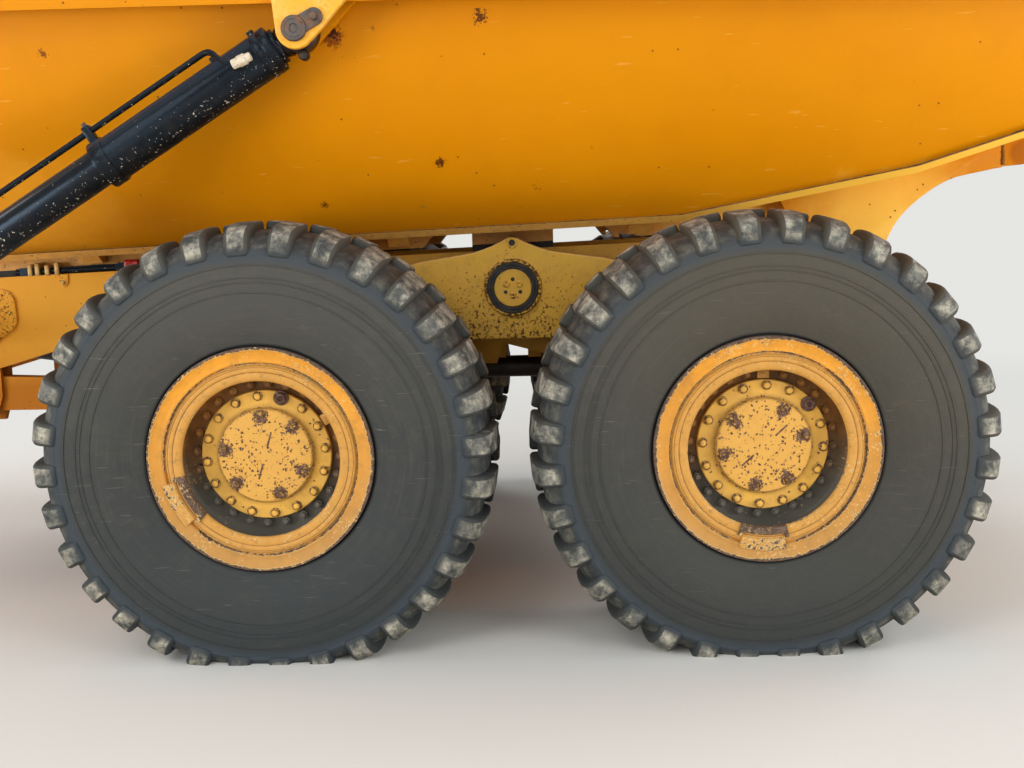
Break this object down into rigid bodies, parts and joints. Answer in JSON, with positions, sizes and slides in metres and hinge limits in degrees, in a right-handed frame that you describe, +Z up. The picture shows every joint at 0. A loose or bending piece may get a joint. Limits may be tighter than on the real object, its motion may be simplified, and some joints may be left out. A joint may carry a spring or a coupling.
{
  "type": "rear unit of an articulated dump truck",
  "caption": "Rear unit of an articulated dump truck: frame with hitch bore, tandem axles on walking beams, big lugged wheels and a tipping body raised by telescopic side cylinders.",
  "frame": {"origin": "centre of the hitch bore at the front of the rear frame", "axes": "+X points rearward along the truck, +Y to the truck's right, +Z up; the hitch bore's axis lies along X"},
  "size_m": [6.05, 2.88, 3.077],
  "materials": {
    "frame_paint": "dusty yellow enamel, worn at the edges",
    "body_paint": "orange-yellow enamel, semi-gloss",
    "rim_paint": "orange-yellow enamel with rust chips",
    "tyre_rubber": "dusty black rubber",
    "spring_rubber": "matt black rubber",
    "black_paint": "gloss black enamel with chips",
    "rod_chrome": "hard chrome",
    "shaft_steel": "oily steel",
    "lamp_plastic": "moulded lens and black housing"
  },
  "bodies": {
    "rear_frame": {"hitch_housing": "frame_paint", "rail_left": "frame_paint", "rail_right": "frame_paint", "crossmembers": "frame_paint", "pivot_tube": "frame_paint", "tail_lamps": "lamp_plastic", "rest_pads": "spring_rubber", "hoist_mounts": "frame_paint", "frame_pipe": "black_paint", "walking_beam_left": "frame_paint", "walking_beam_right": "frame_paint", "pivot_caps": "frame_paint", "rubber_springs": "spring_rubber", "front_axle": "frame_paint", "rear_axle": "frame_paint", "drawbars": "frame_paint", "sway_rods": "frame_paint", "front_driveshaft": "shaft_steel", "tandem_driveshaft": "shaft_steel"},
    "wheel_front_left": {"tyre_front_left": "tyre_rubber", "rim_front_left": "rim_paint", "hub_front_left": "rim_paint"},
    "wheel_front_right": {"tyre_front_right": "tyre_rubber", "rim_front_right": "rim_paint", "hub_front_right": "rim_paint"},
    "wheel_rear_left": {"tyre_rear_left": "tyre_rubber", "rim_rear_left": "rim_paint", "hub_rear_left": "rim_paint"},
    "wheel_rear_right": {"tyre_rear_right": "tyre_rubber", "rim_rear_right": "rim_paint", "hub_rear_right": "rim_paint"},
    "dump_body": {"body_floor": "body_paint", "body_side_left": "body_paint", "body_side_right": "body_paint", "body_front_wall": "body_paint", "spill_guard": "body_paint", "body_bearers": "body_paint", "hinge_plates": "body_paint", "hoist_ears": "body_paint"},
    "barrel_left": {"barrel_left": "black_paint"},
    "stage_left": {"stage_left": "rod_chrome"},
    "rod_left": {"rod_left": "rod_chrome"},
    "barrel_right": {"barrel_right": "black_paint"},
    "stage_right": {"stage_right": "rod_chrome"},
    "rod_right": {"rod_right": "rod_chrome"}
  },
  "joints": [
    {"name": "wheel_front_left_spin", "type": "hinge", "parent": "rear_frame", "child": "wheel_front_left", "pos_m": [2.7, -1.14, -0.344], "axis": [0, 1, 0], "continuous": true},
    {"name": "wheel_front_right_spin", "type": "hinge", "parent": "rear_frame", "child": "wheel_front_right", "pos_m": [2.7, 1.14, -0.344], "axis": [0, 1, 0], "continuous": true},
    {"name": "wheel_rear_left_spin", "type": "hinge", "parent": "rear_frame", "child": "wheel_rear_left", "pos_m": [4.4, -1.14, -0.344], "axis": [0, 1, 0], "continuous": true},
    {"name": "wheel_rear_right_spin", "type": "hinge", "parent": "rear_frame", "child": "wheel_rear_right", "pos_m": [4.4, 1.14, -0.344], "axis": [0, 1, 0], "continuous": true},
    {"name": "dump_tip", "type": "hinge", "parent": "rear_frame", "child": "dump_body", "pos_m": [4.87, 0, 0.17], "axis": [0, 1, 0], "range_deg": [0, 70]},
    {"name": "hoist_swing_left", "type": "hinge", "parent": "rear_frame", "child": "barrel_left", "pos_m": [1.19935, -1.21, 0.05513], "axis": [0, 1, 0], "range_deg": [0, 0.75]},
    {"name": "hoist_stage_left", "type": "slide", "parent": "barrel_left", "child": "stage_left", "axis": [0.8526, 0, 0.5225], "range_m": [0, 1.265]},
    {"name": "hoist_rod_left", "type": "slide", "parent": "stage_left", "child": "rod_left", "axis": [0.8526, 0, 0.5225], "range_m": [0, 1.265]},
    {"name": "hoist_swing_right", "type": "hinge", "parent": "rear_frame", "child": "barrel_right", "pos_m": [1.19935, 1.21, 0.05513], "axis": [0, 1, 0], "range_deg": [0, 0.75]},
    {"name": "hoist_stage_right", "type": "slide", "parent": "barrel_right", "child": "stage_right", "axis": [0.8526, 0, 0.5225], "range_m": [0, 1.265]},
    {"name": "hoist_rod_right", "type": "slide", "parent": "stage_right", "child": "rod_right", "axis": [0.8526, 0, 0.5225], "range_m": [0, 1.265]}
  ],
  "couplings": [
    {"joint": "hoist_swing_left", "follows": "dump_tip", "ratio": 0.0059438},
    {"joint": "hoist_stage_left", "follows": "dump_tip", "m_per_rad": 1.0338},
    {"joint": "hoist_rod_left", "follows": "dump_tip", "m_per_rad": 1.0338},
    {"joint": "hoist_swing_right", "follows": "dump_tip", "ratio": 0.0059438},
    {"joint": "hoist_stage_right", "follows": "dump_tip", "m_per_rad": 1.0338},
    {"joint": "hoist_rod_right", "follows": "dump_tip", "m_per_rad": 1.0338}
  ]
}
